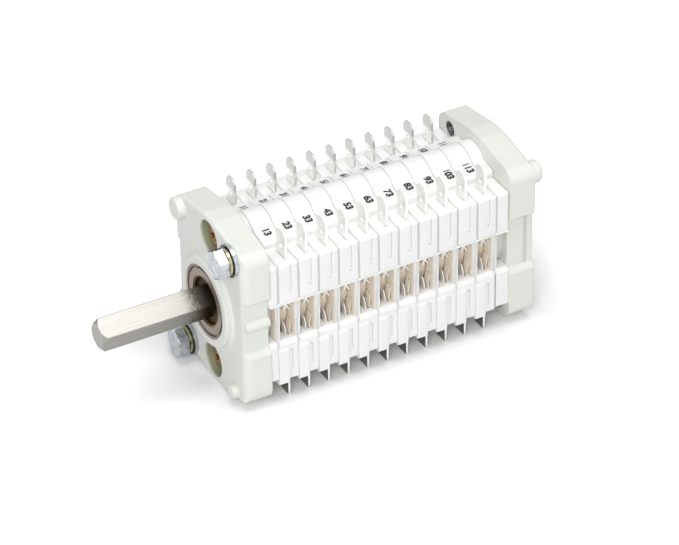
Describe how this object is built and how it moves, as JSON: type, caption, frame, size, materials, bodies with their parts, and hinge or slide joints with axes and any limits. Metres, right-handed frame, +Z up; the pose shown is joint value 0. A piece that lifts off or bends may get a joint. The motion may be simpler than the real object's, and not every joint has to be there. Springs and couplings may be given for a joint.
{
  "type": "auxiliary switch",
  "caption": "Rotary auxiliary switch: a stack of contact decks between two end plates, turned by a square drive shaft, with rows of quick-connect blades above and below.",
  "frame": {"origin": "On the shaft axis, in the outer face of the front end plate.", "axes": "+X runs along the drive shaft from the front plate to the rear plate, so the shaft's free end lies on -X. +Z is up. +Y is to the left when one looks along +X from above."},
  "size_m": [0.165, 0.0508, 0.0692],
  "materials": {
    "plate": "light warm grey moulded plastic with a fine texture",
    "housing": "smooth white moulded plastic",
    "bearing": "grey-brown sintered bronze, dull",
    "tie": "brass screw, slightly dull",
    "bolt": "bright zinc-plated steel with a faint blue tint",
    "split_washer": "yellow-passivated steel",
    "flat_washer": "bright zinc-plated steel",
    "shaft": "drawn steel, nickel plated",
    "hub": "black moulded plastic",
    "contact": "silver-plated copper alloy sheet, satin",
    "drum": "beige-brown insulating moulding",
    "bridge": "copper alloy, plain"
  },
  "bodies": {
    "housing": {"front_plate": "plate", "rear_plate": "plate", "front_cover": "housing", "rear_cover": "housing", "front_bearing": "bearing", "rear_bearing": "bearing", "tie_screws": "tie", "tie_nuts": "tie", "hex_bolts": "bolt", "split_washers": "split_washer", "flat_washers": "flat_washer", "deck_1": "housing", "deck_2": "housing", "deck_3": "housing", "deck_4": "housing", "deck_5": "housing", "deck_6": "housing", "deck_7": "housing", "deck_8": "housing", "deck_9": "housing", "deck_10": "housing", "deck_11": "housing", "contacts_1": "contact", "contacts_2": "contact", "contacts_3": "contact", "contacts_4": "contact", "contacts_5": "contact", "contacts_6": "contact", "contacts_7": "contact", "contacts_8": "contact", "contacts_9": "contact", "contacts_10": "contact", "contacts_11": "contact"},
    "rotor": {"drive_shaft": "shaft", "front_hub": "hub", "rear_hub": "hub", "drum_1": "drum", "drum_2": "drum", "drum_3": "drum", "drum_4": "drum", "drum_5": "drum", "drum_6": "drum", "drum_7": "drum", "drum_8": "drum", "drum_9": "drum", "drum_10": "drum", "drum_11": "drum", "bridges_1": "bridge", "bridges_2": "bridge", "bridges_3": "bridge", "bridges_4": "bridge", "bridges_5": "bridge", "bridges_6": "bridge", "bridges_7": "bridge", "bridges_8": "bridge", "bridges_9": "bridge", "bridges_10": "bridge", "bridges_11": "bridge"}
  },
  "joints": [
    {"name": "rotor_turn", "type": "hinge", "parent": "housing", "child": "rotor", "pos_m": [0, 0, 0], "axis": [1, 0, 0], "range_deg": [-45, 45]}
  ]
}
